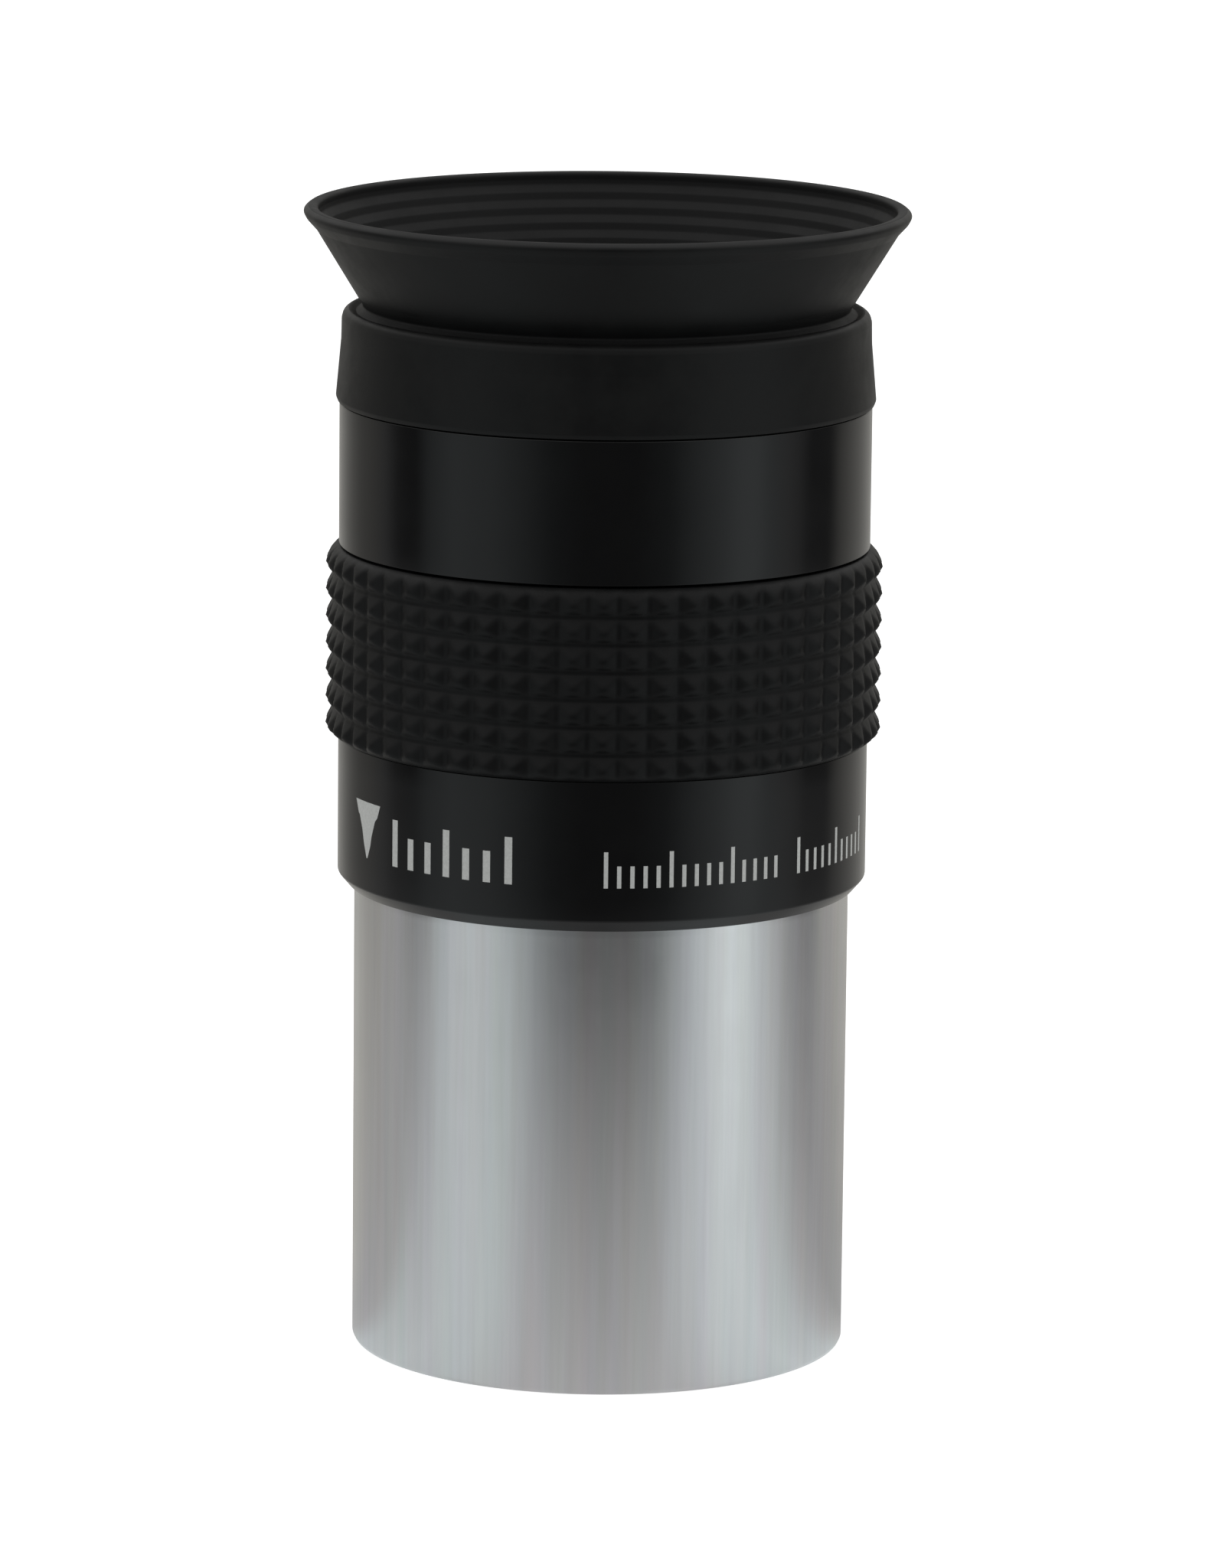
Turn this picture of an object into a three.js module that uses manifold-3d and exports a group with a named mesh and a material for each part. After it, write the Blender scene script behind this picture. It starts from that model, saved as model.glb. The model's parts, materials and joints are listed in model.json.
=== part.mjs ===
// A 1.25-inch telescope eyepiece: chromed barrel, black housing with a rubber grip sleeve, two cemented
// doublets and a fold-down rubber eyecup.
// Millimetres, +Z towards the eye. The origin is the centre of the barrel's bottom end, and the eyepiece
// stands upright on it. Every lathe profile is a list of [radius, height] points, anticlockwise.

import * as THREE from "three";
import Module from "manifold-3d";
import { mergeVertices } from "three/addons/utils/BufferGeometryUtils.js";

const wasm = await Module();
wasm.setup();

// ---------------------------------------------------------------------------------------------------
// Driving dimensions

const SEGMENTS = 48; // flats round every turned piece
const RUNNING_GAP = 0.15; // radial, between the screwed pieces
const FIT_GAP = 0.1; // radial, between pieces that are pushed together
const SEAT_GAP = 0.05; // axial, where one piece rests on another

const BARREL_RADIUS = 15.875; // the 1.25-inch standard
const BARREL_LENGTH = 30;
const BARREL_BORE = 13.9;
const BARREL_EDGE = 0.2; // chamfer on the bottom end
const FILTER_THREAD_RADIUS = 14.25; // M28.5 x 0.6
const FILTER_THREAD_DEPTH = 4.6;

const SPIGOT_RADIUS = 14.6; // the barrel's male thread
const SPIGOT_LENGTH = 3.8;
const SPIGOT_BORE = 13.4;
const STOP_LEDGE_RADIUS = 12.7; // the ledge in the barrel that the field stop sits on
const STOP_LEDGE_THICKNESS = 1.2;

const STOP_APERTURE = 10.8; // radius of the field of view at the focal plane
const STOP_THICKNESS = 1.2;

const HOUSING_RADIUS = 16.95;
const HOUSING_LENGTH = 36.6;
const HOUSING_EDGE = 0.65; // chamfer next to the barrel
const HOUSING_EDGE_HEIGHT = 0.75;
const BARREL_SEAT_RADIUS = 16; // shallow counterbore that the barrel's shoulder seats in
const BARREL_SEAT_DEPTH = 0.1;
const HOUSING_BODY = 31.05; // height of the shoulder under the eyecup
const NECK_RADIUS = 15.3; // the eyecup is pushed onto this neck
const SNAP_BEAD = 0.45; // how far the neck's bead stands out
const SNAP_BEAD_HEIGHT = 34.1; // middle of the bead
const THREAD_CAVITY = 4.3; // depth of the socket for the barrel's spigot
const BAFFLE_BORE = 13;
const BAFFLE_TOP = 14.1;
const EYE_OPENING_RADIUS = 13.2;

const GRIP_BOTTOM = 9.6; // from the housing's bottom end
const GRIP_HEIGHT = 12.25;
const GRIP_RECESS_RADIUS = 16.35;
const GRIP_ROWS = 7;
const GRIP_COLUMNS = 58;
const GRIP_VALLEY_RADIUS = 17.2;
const GRIP_PEAK_RADIUS = 17.8;
const GRIP_END_RADIUS = 16.98;

const LENS_RADIUS = 11.2;
const LENS_INNER_CURVE = 22.7; // the crown's free surface and the cemented surface
const LENS_OUTER_CURVE = 91; // the flint's free surface
const CROWN_THICKNESS = 6.7;
const FLINT_THICKNESS = 1.8;
const CEMENT = 0.04;
const DOUBLET_SPACING = 0.6; // between the crowns, on the axis
const EYE_LENS_APEX = 35.3; // from the housing's bottom end
const LENS_ARC_STEPS = 5;
const SPACER_BORE = 10.1;

const RETAINER_RADIUS = 11.7;
const RETAINER_BORE = 10.4;
const RETAINER_HEIGHT = 2.3;
const SPANNER_SLOT_WIDTH = 1.2;
const SPANNER_SLOT_DEPTH = 0.9;

const COLLAR_FOOT_RADIUS = 17.2;
const COLLAR_TOP_RADIUS = 16.85;
const COLLAR_HEIGHT = 6.4;
const COLLAR_LEDGE = 5.75; // height of the flat ledge round the fold line
const COLLAR_EDGE = 0.4;
const CREASE_RADIUS = 15.95; // outside of the fold line
const FLARE_HEIGHT = 4.35;
const FLARE_TOP_RADIUS = 18.5;
const FLARE_WALL = 1.2;
const RIM_RADIUS = 19.3;
const RIM_HEIGHT = 1.3;
const RIM_INNER_RADIUS = 17.8;
const RUBBER_GAP = 0.2; // between the three parts of the moulding that the fold tells apart

// ---------------------------------------------------------------------------------------------------
// Materials

function material(color, roughness, metalness) {
  return new THREE.MeshStandardMaterial({ color, roughness, metalness });
}

const chrome = material(0xc4c4c8, 0.22, 1);
const anodised = material(0x121214, 0.25, 0.4);
const matBlack = material(0x0a0a0a, 0.85, 0.1);
const rubber = material(0x1d1d1c, 0.75, 0);
const crownGlass = material(0xdfe8e2, 0.02, 0);
const flintGlass = material(0xb9c7d8, 0.02, 0);

// ---------------------------------------------------------------------------------------------------
// Shape helpers

// A ring or a solid of revolution about Z. A ring's profile is closed here; a solid's starts and ends at
// radius 0.
function turned(profile) {
  const points = profile.map(([radius, height]) => new THREE.Vector2(radius, height));
  const onAxis = points[0].x === 0;
  if (!onAxis) {
    points.push(points[0].clone());
  }
  const geometry = new THREE.LatheGeometry(points, SEGMENTS);
  geometry.rotateX(Math.PI / 2);
  return geometry;
}

// Points on a quarter or part of a circle in the profile plane, angles in degrees from +radius.
function arc(centreRadius, centreHeight, size, fromDegrees, toDegrees, steps) {
  const points = [];
  for (let i = 0; i <= steps; i += 1) {
    const angle = THREE.MathUtils.degToRad(fromDegrees + ((toDegrees - fromDegrees) * i) / steps);
    points.push([centreRadius + size * Math.cos(angle), centreHeight + size * Math.sin(angle)]);
  }
  return points;
}

// Depth of a spherical surface at a distance from its apex.
function sag(curve, radius) {
  return curve - Math.sqrt(curve * curve - radius * radius);
}

// Points on a spherical surface from the axis to the lens edge. side is 1 where the edge lies above the
// apex and -1 where it lies below.
function dome(apexHeight, curve, side) {
  const points = [];
  for (let i = 0; i <= LENS_ARC_STEPS; i += 1) {
    const radius = (LENS_RADIUS * i) / LENS_ARC_STEPS;
    points.push([radius, apexHeight + side * sag(curve, radius)]);
  }
  return points;
}

function toSolid(geometry) {
  const bare = geometry.clone();
  bare.deleteAttribute("normal");
  bare.deleteAttribute("uv");
  const merged = mergeVertices(bare, 1e-4);
  return new wasm.Manifold(
    new wasm.Mesh({
      numProp: 3,
      vertProperties: new Float32Array(merged.attributes.position.array),
      triVerts: new Uint32Array(merged.index.array),
    }),
  );
}

function fromSolid(solid) {
  const mesh = solid.getMesh();
  const geometry = new THREE.BufferGeometry();
  geometry.setAttribute("position", new THREE.BufferAttribute(mesh.vertProperties, 3));
  geometry.setIndex(new THREE.BufferAttribute(mesh.triVerts, 1));
  geometry.computeVertexNormals();
  return geometry;
}

function piece(name, geometry, look, height = 0) {
  const mesh = new THREE.Mesh(geometry, look);
  mesh.name = name;
  mesh.position.z = height;
  return mesh;
}

// ---------------------------------------------------------------------------------------------------
// Barrel and field stop, heights from the barrel's bottom end

const LEDGE_TOP = BARREL_LENGTH + 0.1;

function barrelGeometry() {
  const top = BARREL_LENGTH + BARREL_SEAT_DEPTH - SEAT_GAP;
  const spigotTop = BARREL_LENGTH + SPIGOT_LENGTH;
  const reliefRadius = SPIGOT_RADIUS - 0.45;
  const ledgeBottom = LEDGE_TOP - STOP_LEDGE_THICKNESS;
  return turned([
    [FILTER_THREAD_RADIUS + 0.3, 0],
    [BARREL_RADIUS - BARREL_EDGE, 0],
    [BARREL_RADIUS, BARREL_EDGE],
    [BARREL_RADIUS, top - 0.15],
    [BARREL_RADIUS - 0.15, top],
    [reliefRadius, top],
    [reliefRadius, top + 0.8],
    [SPIGOT_RADIUS, top + 1.1],
    [SPIGOT_RADIUS, spigotTop - 0.3],
    [SPIGOT_RADIUS - 0.3, spigotTop],
    [SPIGOT_BORE, spigotTop],
    [SPIGOT_BORE, LEDGE_TOP],
    [STOP_LEDGE_RADIUS, LEDGE_TOP],
    [STOP_LEDGE_RADIUS, ledgeBottom],
    [BARREL_BORE, ledgeBottom - 0.8],
    [BARREL_BORE, FILTER_THREAD_DEPTH],
    [FILTER_THREAD_RADIUS, FILTER_THREAD_DEPTH],
    [FILTER_THREAD_RADIUS, 0.3],
  ]);
}

function fieldStopGeometry() {
  const edge = 0.2; // the aperture's thin lip
  return turned([
    [STOP_APERTURE, 0],
    [SPIGOT_BORE - FIT_GAP, 0],
    [SPIGOT_BORE - FIT_GAP, STOP_THICKNESS],
    [STOP_APERTURE + 1.2, STOP_THICKNESS],
    [STOP_APERTURE, edge],
  ]);
}

// ---------------------------------------------------------------------------------------------------
// Housing, heights from its bottom end

const LENS_BORE = LENS_RADIUS + FIT_GAP;
const RETAINER_THREAD = RETAINER_RADIUS + FIT_GAP;
const FIELD_LENS_APEX = EYE_LENS_APEX - 2 * (CROWN_THICKNESS + FLINT_THICKNESS) - DOUBLET_SPACING;
const EYE_LENS_EDGE = EYE_LENS_APEX - sag(LENS_OUTER_CURVE, LENS_RADIUS);
const FIELD_LENS_EDGE = FIELD_LENS_APEX + sag(LENS_OUTER_CURVE, LENS_RADIUS);

function housingGeometry() {
  const socketRadius = SPIGOT_RADIUS + RUNNING_GAP;
  const gripTop = GRIP_BOTTOM + GRIP_HEIGHT;
  const lipBottom = EYE_LENS_EDGE + 0.14;
  const lipRadius = LENS_RADIUS - 0.7;
  return turned([
    [socketRadius + 0.35, BARREL_SEAT_DEPTH],
    [BARREL_SEAT_RADIUS, BARREL_SEAT_DEPTH],
    [BARREL_SEAT_RADIUS, 0],
    [HOUSING_RADIUS - HOUSING_EDGE, 0],
    [HOUSING_RADIUS, HOUSING_EDGE_HEIGHT],
    [HOUSING_RADIUS, GRIP_BOTTOM],
    [GRIP_RECESS_RADIUS, GRIP_BOTTOM],
    [GRIP_RECESS_RADIUS, gripTop],
    [HOUSING_RADIUS, gripTop],
    [HOUSING_RADIUS, HOUSING_BODY],
    [NECK_RADIUS, HOUSING_BODY],
    [NECK_RADIUS, SNAP_BEAD_HEIGHT - 0.8],
    [NECK_RADIUS + SNAP_BEAD, SNAP_BEAD_HEIGHT - 0.3],
    [NECK_RADIUS + SNAP_BEAD, SNAP_BEAD_HEIGHT + 0.3],
    [NECK_RADIUS, SNAP_BEAD_HEIGHT + 0.8],
    [NECK_RADIUS, HOUSING_LENGTH - 0.3],
    [NECK_RADIUS - 0.3, HOUSING_LENGTH],
    [EYE_OPENING_RADIUS, HOUSING_LENGTH],
    [lipRadius, lipBottom + 0.6],
    [lipRadius, lipBottom],
    [LENS_BORE, lipBottom],
    [LENS_BORE, FIELD_LENS_EDGE],
    [RETAINER_THREAD, FIELD_LENS_EDGE],
    [RETAINER_THREAD, BAFFLE_TOP + 0.6],
    [BAFFLE_BORE, BAFFLE_TOP],
    [BAFFLE_BORE, THREAD_CAVITY],
    [socketRadius, THREAD_CAVITY],
    [socketRadius, BARREL_SEAT_DEPTH + 0.35],
  ]);
}

// ---------------------------------------------------------------------------------------------------
// Grip sleeve: a band of four-sided pyramids, heights from its lower edge

function gripSleeveGeometry() {
  const innerRadius = GRIP_RECESS_RADIUS + FIT_GAP;
  const height = GRIP_HEIGHT - 2 * SEAT_GAP;
  const pitch = height / GRIP_ROWS;
  const positions = [];
  const triangles = [];

  // One ring of points; turn is the share of a column that it is moved round by. Returns its first index.
  function ring(radius, level, turn) {
    const first = positions.length / 3;
    for (let column = 0; column < GRIP_COLUMNS; column += 1) {
      const angle = ((column + turn) / GRIP_COLUMNS) * 2 * Math.PI;
      positions.push(radius * Math.cos(angle), radius * Math.sin(angle), level);
    }
    return first;
  }

  // A band of quads from one ring to the next.
  function band(from, to) {
    for (let column = 0; column < GRIP_COLUMNS; column += 1) {
      const next = (column + 1) % GRIP_COLUMNS;
      triangles.push(from + column, from + next, to + next);
      triangles.push(from + column, to + next, to + column);
    }
  }

  let lower = ring(GRIP_END_RADIUS, 0, 0);
  const bottomEdge = lower;
  for (let row = 1; row <= GRIP_ROWS; row += 1) {
    const valley = row === GRIP_ROWS ? GRIP_END_RADIUS : GRIP_VALLEY_RADIUS;
    const peaks = ring(GRIP_PEAK_RADIUS, (row - 0.5) * pitch, 0.5);
    const upper = ring(valley, row * pitch, 0);
    for (let column = 0; column < GRIP_COLUMNS; column += 1) {
      const next = (column + 1) % GRIP_COLUMNS;
      const peak = peaks + column;
      triangles.push(lower + column, lower + next, peak);
      triangles.push(lower + next, upper + next, peak);
      triangles.push(upper + next, upper + column, peak);
      triangles.push(upper + column, lower + column, peak);
    }
    lower = upper;
  }
  const topInside = ring(innerRadius, height, 0);
  const bottomInside = ring(innerRadius, 0, 0);
  band(lower, topInside);
  band(topInside, bottomInside);
  band(bottomInside, bottomEdge);

  const geometry = new THREE.BufferGeometry();
  geometry.setAttribute("position", new THREE.Float32BufferAttribute(positions, 3));
  geometry.setIndex(triangles);
  geometry.computeVertexNormals();
  return geometry;
}

// ---------------------------------------------------------------------------------------------------
// Lenses. A doublet is drawn with the flint's free surface up and its apex at height 0.

function flintGeometry() {
  const below = dome(-FLINT_THICKNESS, LENS_INNER_CURVE, -1);
  const above = dome(0, LENS_OUTER_CURVE, -1).reverse();
  return turned([...below, ...above]);
}

function crownGeometry() {
  const below = dome(-FLINT_THICKNESS - CROWN_THICKNESS, LENS_INNER_CURVE, 1);
  const above = dome(-FLINT_THICKNESS - CEMENT, LENS_INNER_CURVE, -1).reverse();
  return turned([...below, ...above]);
}

function doublet(name) {
  const group = new THREE.Group();
  group.add(piece(`${name}_flint`, flintGeometry(), flintGlass));
  group.add(piece(`${name}_crown`, crownGeometry(), crownGlass));
  return group;
}

// The spacer ring rests on both crowns near their edges. Height 0 is midway between the doublets.
function spacerGeometry() {
  const outer = LENS_RADIUS;
  const atBore = DOUBLET_SPACING / 2 + sag(LENS_INNER_CURVE, SPACER_BORE) - SEAT_GAP;
  const atRim = DOUBLET_SPACING / 2 + sag(LENS_INNER_CURVE, LENS_RADIUS) - SEAT_GAP;
  return turned([
    [SPACER_BORE, -atBore],
    [outer, -atRim],
    [outer, atRim],
    [SPACER_BORE, atBore],
  ]);
}

// The ring that clamps the lens stack, with a spanner slot across its lower face.
function retainerGeometry() {
  const ring = turned([
    [RETAINER_BORE, 0],
    [RETAINER_RADIUS - 0.3, 0],
    [RETAINER_RADIUS, 0.3],
    [RETAINER_RADIUS, RETAINER_HEIGHT],
    [RETAINER_BORE, RETAINER_HEIGHT],
  ]);
  const slotLength = 3 * RETAINER_RADIUS;
  const slot = new THREE.BoxGeometry(slotLength, SPANNER_SLOT_WIDTH, 2 * SPANNER_SLOT_DEPTH);
  return fromSolid(toSolid(ring).subtract(toSolid(slot)));
}

// ---------------------------------------------------------------------------------------------------
// Eyecup: one rubber moulding in three parts, heights from the collar's lower edge

function collarGeometry() {
  const bore = NECK_RADIUS + RUNNING_GAP;
  const grooveRadius = bore + SNAP_BEAD;
  const groove = SNAP_BEAD_HEIGHT - HOUSING_BODY;
  const lipBottom = HOUSING_LENGTH - HOUSING_BODY + RUNNING_GAP;
  const lipRadius = NECK_RADIUS - 0.6;
  return turned([
    [bore + 0.15, 0],
    [COLLAR_FOOT_RADIUS - 0.1, 0],
    [COLLAR_FOOT_RADIUS, 0.12],
    ...arc(COLLAR_TOP_RADIUS - COLLAR_EDGE, COLLAR_LEDGE - COLLAR_EDGE, COLLAR_EDGE, 0, 90, 3),
    [CREASE_RADIUS, COLLAR_LEDGE],
    [CREASE_RADIUS, COLLAR_HEIGHT],
    [lipRadius, COLLAR_HEIGHT],
    [lipRadius, lipBottom],
    [bore, lipBottom],
    [bore, groove + 0.95],
    [grooveRadius, groove + 0.45],
    [grooveRadius, groove - 0.45],
    [bore, groove - 0.95],
    [bore, 0.15],
  ]);
}

function flareGeometry() {
  return turned([
    [CREASE_RADIUS - FLARE_WALL, 0],
    [CREASE_RADIUS, 0],
    [FLARE_TOP_RADIUS, FLARE_HEIGHT],
    [FLARE_TOP_RADIUS - FLARE_WALL, FLARE_HEIGHT],
  ]);
}

function rimGeometry() {
  const bead = RIM_HEIGHT / 2;
  return turned([
    [RIM_INNER_RADIUS - 0.2, 0],
    [FLARE_TOP_RADIUS, 0],
    ...arc(RIM_RADIUS - bead, RIM_HEIGHT - bead, bead, -45, 90, 5),
    [RIM_INNER_RADIUS + 0.35, RIM_HEIGHT - 0.1],
    [RIM_INNER_RADIUS, RIM_HEIGHT - 0.5],
  ]);
}

// ---------------------------------------------------------------------------------------------------
// Assembly

const eyepiece = new THREE.Group();
eyepiece.add(piece("barrel", barrelGeometry(), chrome));
eyepiece.add(piece("field_stop", fieldStopGeometry(), matBlack, LEDGE_TOP + SEAT_GAP));

const head = new THREE.Group();
head.position.z = BARREL_LENGTH;
head.add(piece("housing", housingGeometry(), anodised));
head.add(piece("grip_sleeve", gripSleeveGeometry(), rubber, GRIP_BOTTOM + SEAT_GAP));
eyepiece.add(head);

const eyeDoublet = doublet("eye_lens");
eyeDoublet.position.z = EYE_LENS_APEX;
head.add(eyeDoublet);

const fieldDoublet = doublet("field_lens");
fieldDoublet.position.z = FIELD_LENS_APEX;
fieldDoublet.rotation.x = Math.PI; // the same doublet turned over, so that the crowns face each other
head.add(fieldDoublet);

const stackMiddle = (EYE_LENS_APEX + FIELD_LENS_APEX) / 2;
head.add(piece("lens_spacer", spacerGeometry(), matBlack, stackMiddle));
const retainerTop = FIELD_LENS_APEX + sag(LENS_OUTER_CURVE, RETAINER_BORE) - SEAT_GAP;
head.add(piece("lens_retaining_ring", retainerGeometry(), matBlack, retainerTop - RETAINER_HEIGHT));

const eyecup = new THREE.Group();
eyecup.position.z = HOUSING_BODY + SEAT_GAP;
const flareBottom = COLLAR_HEIGHT + RUBBER_GAP;
eyecup.add(piece("eyecup_collar", collarGeometry(), rubber));
eyecup.add(piece("eyecup_flare", flareGeometry(), rubber, flareBottom));
eyecup.add(piece("eyecup_rim", rimGeometry(), rubber, flareBottom + FLARE_HEIGHT + RUBBER_GAP));
head.add(eyecup);

export default eyepiece;
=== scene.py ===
"""A telescope eyepiece on a pale studio floor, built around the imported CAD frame.

Shapes are written in millimetres in the row frame and scaled to metres when a mesh is made. An outline is a
closed run of points (radius, height), anticlockwise, that is turned about the Z axis. Where it is written as
corners, each corner's third number is its rounding.
"""

import json
import math

import bpy
import numpy as np
from mathutils import Matrix, Vector


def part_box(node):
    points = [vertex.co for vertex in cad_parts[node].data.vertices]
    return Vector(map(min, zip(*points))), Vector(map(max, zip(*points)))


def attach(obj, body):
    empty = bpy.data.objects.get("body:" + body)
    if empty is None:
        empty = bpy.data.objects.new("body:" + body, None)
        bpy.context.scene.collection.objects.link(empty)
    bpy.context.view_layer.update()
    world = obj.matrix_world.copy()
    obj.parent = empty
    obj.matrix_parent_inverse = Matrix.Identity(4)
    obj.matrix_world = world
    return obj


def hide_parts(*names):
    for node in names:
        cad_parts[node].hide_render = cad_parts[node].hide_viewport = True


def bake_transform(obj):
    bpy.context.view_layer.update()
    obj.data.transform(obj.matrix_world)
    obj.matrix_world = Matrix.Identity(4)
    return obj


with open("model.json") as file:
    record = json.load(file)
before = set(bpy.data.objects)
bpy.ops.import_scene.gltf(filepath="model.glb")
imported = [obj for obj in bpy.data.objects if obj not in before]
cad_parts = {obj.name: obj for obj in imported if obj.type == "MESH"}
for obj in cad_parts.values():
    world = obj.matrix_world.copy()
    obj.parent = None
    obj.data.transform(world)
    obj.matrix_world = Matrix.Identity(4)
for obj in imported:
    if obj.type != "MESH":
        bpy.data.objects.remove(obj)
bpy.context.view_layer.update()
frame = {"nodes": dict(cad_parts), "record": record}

MM = 0.001
ROUND = 256  # flats round a turned piece
CORNER_STEPS = 5  # mesh steps along a corner's curve


def reach(node):
    """A node's outer radius, lowest and highest height, in millimetres."""
    low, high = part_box(node)
    return high.y / MM, low.z / MM, high.z / MM


BARREL_RADIUS, _, SPIGOT_TOP = reach("barrel")
HOUSING_RADIUS, HOUSING_BOTTOM, HOUSING_TOP = reach("housing")
GRIP_RADIUS, GRIP_BOTTOM, GRIP_TOP = reach("grip_sleeve")
COLLAR_RADIUS, COLLAR_BOTTOM, COLLAR_TOP = reach("eyecup_collar")
_, FLARE_BOTTOM, FLARE_TOP = reach("eyecup_flare")
RIM_RADIUS, _, RIM_TOP = reach("eyecup_rim")
LENS_RADIUS, _, EYE_APEX = reach("eye_lens_flint")
RETAINER_RADIUS, RETAINER_BOTTOM, RETAINER_TOP = reach("lens_retaining_ring")
STOP_RADIUS, STOP_BOTTOM, _ = reach("field_stop")

GAP = 0.05  # left between two pieces that meet


# -------------------------------------------------------------------------------------------------------
# Mesh helpers


def rounded(corners):
    """The outline, as an array of points, with a smooth curve in place of each corner (radius, height,
    rounding)."""
    points = []
    count = len(corners)
    for i, (r, z, size) in enumerate(corners):
        here = np.array((r, z), float)
        before = np.array(corners[i - 1][:2], float) - here
        after = np.array(corners[(i + 1) % count][:2], float) - here
        if size <= 0:
            points.append(here)
            continue
        a, b = before / np.linalg.norm(before), after / np.linalg.norm(after)
        half = math.acos(float(np.clip(a @ b, -1, 1))) / 2
        room = 0.49 * min(np.linalg.norm(before), np.linalg.norm(after))
        back = min(size / math.tan(half), room)
        start, end = here + a * back, here + b * back
        for k in range(CORNER_STEPS + 1):
            t = k / CORNER_STEPS
            points.append((1 - t) ** 2 * start + 2 * t * (1 - t) * here + t * t * end)
    return np.array(points)


def refined(points, longest):
    """The closed outline with no stretch longer than longest, in millimetres."""
    made = []
    for i, point in enumerate(points):
        step = points[(i + 1) % len(points)] - point
        pieces = max(1, math.ceil(np.linalg.norm(step) / longest))
        made += [point + step * k / pieces for k in range(pieces)]
    return np.array(made)


def mesh_object(name, vertices, faces, materials, which=None, sharp=40):
    """A smooth-shaded mesh object from millimetre points. which gives each face's material index."""
    mesh = bpy.data.meshes.new(name)
    mesh.from_pydata([tuple(v) for v in np.asarray(vertices) * MM], [], faces)
    for material in materials:
        mesh.materials.append(material)
    mesh.polygons.foreach_set("use_smooth", [True] * len(faces))
    if which is not None:
        mesh.polygons.foreach_set("material_index", which)
    mesh.update()
    mesh.set_sharp_from_angle(angle=math.radians(sharp))
    thing = bpy.data.objects.new(name, mesh)
    bpy.context.scene.collection.objects.link(thing)
    return thing


def turned(name, outline, materials, zone=None, around=ROUND, shape=None, sharp=40):
    """A ring turned about Z from a closed outline of points. zone(radius, height) picks a face's material,
    and shape(radius, height, angle) may return a changed radius and height."""
    outline = np.asarray(outline, float)
    count = len(outline)
    angles = np.arange(around) * 2 * math.pi / around
    r = np.repeat(outline[:, 0][:, None], around, 1)
    z = np.repeat(outline[:, 1][:, None], around, 1)
    if shape is not None:
        r, z = shape(r, z, np.repeat(angles[None, :], count, 0))
    vertices = np.stack([r * np.cos(angles), r * np.sin(angles), z], 2).reshape(-1, 3)
    faces, which = [], []
    for i in range(count):
        j = (i + 1) % count
        index = zone(*((outline[i] + outline[j]) / 2)) if zone else 0
        for k in range(around):
            m = (k + 1) % around
            faces.append((i * around + k, i * around + m, j * around + m, j * around + k))
            which.append(index)
    return mesh_object(name, vertices, faces, materials, which, sharp)


def place_piece(thing, body, slot, *nodes):
    """The piece rides on the body and stands for the nodes. The slot is not used."""
    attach(thing, body)
    if nodes:
        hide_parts(*nodes)


# -------------------------------------------------------------------------------------------------------
# Material helpers


class Look:
    """A Principled material and short calls for adding nodes to it. Texture coordinates are in millimetres
    of the row frame."""

    def __init__(self, name, **sockets):
        self.material = bpy.data.materials.new(name)
        self.material.use_nodes = True
        self.tree = self.material.node_tree
        self.shader = self.tree.nodes["Principled BSDF"]
        for key, value in sockets.items():
            self.shader.inputs[key.replace("_", " ")].default_value = value
        place = self.tree.nodes.new("ShaderNodeTexCoord").outputs["Object"]
        self.place = self.stretched(place, (1 / MM,) * 3)

    def node(self, kind, **settings):
        made = self.tree.nodes.new(kind)
        for key, value in settings.items():
            setattr(made, key, value)
        return made

    def link(self, source, target):
        self.tree.links.new(source, target)

    def stretched(self, source, scale):
        """The coordinates scaled by three numbers."""
        made = self.node("ShaderNodeVectorMath", operation="MULTIPLY")
        made.inputs[1].default_value = scale
        self.link(source, made.inputs[0])
        return made.outputs[0]

    def noise(self, scale, detail=3, roughness=0.5, stretch=(1, 1, 1), output="Fac"):
        made = self.node("ShaderNodeTexNoise")
        made.inputs["Scale"].default_value = scale
        made.inputs["Detail"].default_value = detail
        made.inputs["Roughness"].default_value = roughness
        self.link(self.stretched(self.place, stretch), made.inputs["Vector"])
        return made.outputs[output]

    def spread(self, source, low, high, start=0.3, end=0.7):
        """source, from start to end, as a number from low to high."""
        made = self.node("ShaderNodeMapRange")
        for key, value in zip(("From Min", "From Max", "To Min", "To Max"), (start, end, low, high)):
            made.inputs[key].default_value = value
        self.link(source, made.inputs["Value"])
        return made.outputs[0]

    def colours(self, source, dark, light):
        """A colour between dark and light."""
        made = self.node("ShaderNodeMix", data_type="RGBA")
        made.inputs[6].default_value = (*dark, 1)
        made.inputs[7].default_value = (*light, 1)
        self.link(source, made.inputs["Factor"])
        return made.outputs[2]

    def blend(self, mode, amount, first, second):
        """Two colours mixed in a blend mode."""
        made = self.node("ShaderNodeMix", data_type="RGBA", blend_type=mode)
        made.inputs["Factor"].default_value = amount
        self.link(first, made.inputs[6])
        self.link(second, made.inputs[7])
        return made.outputs[2]

    def bump(self, source, depth):
        """Relief of that depth in millimetres."""
        made = self.node("ShaderNodeBump")
        made.inputs["Distance"].default_value = depth * MM
        made.inputs["Strength"].default_value = 1
        self.link(source, made.inputs["Height"])
        return made.outputs[0]

    def feed(self, **sockets):
        for key, source in sockets.items():
            self.link(source, self.shader.inputs[key.replace("_", " ")])
        return self.material


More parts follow.
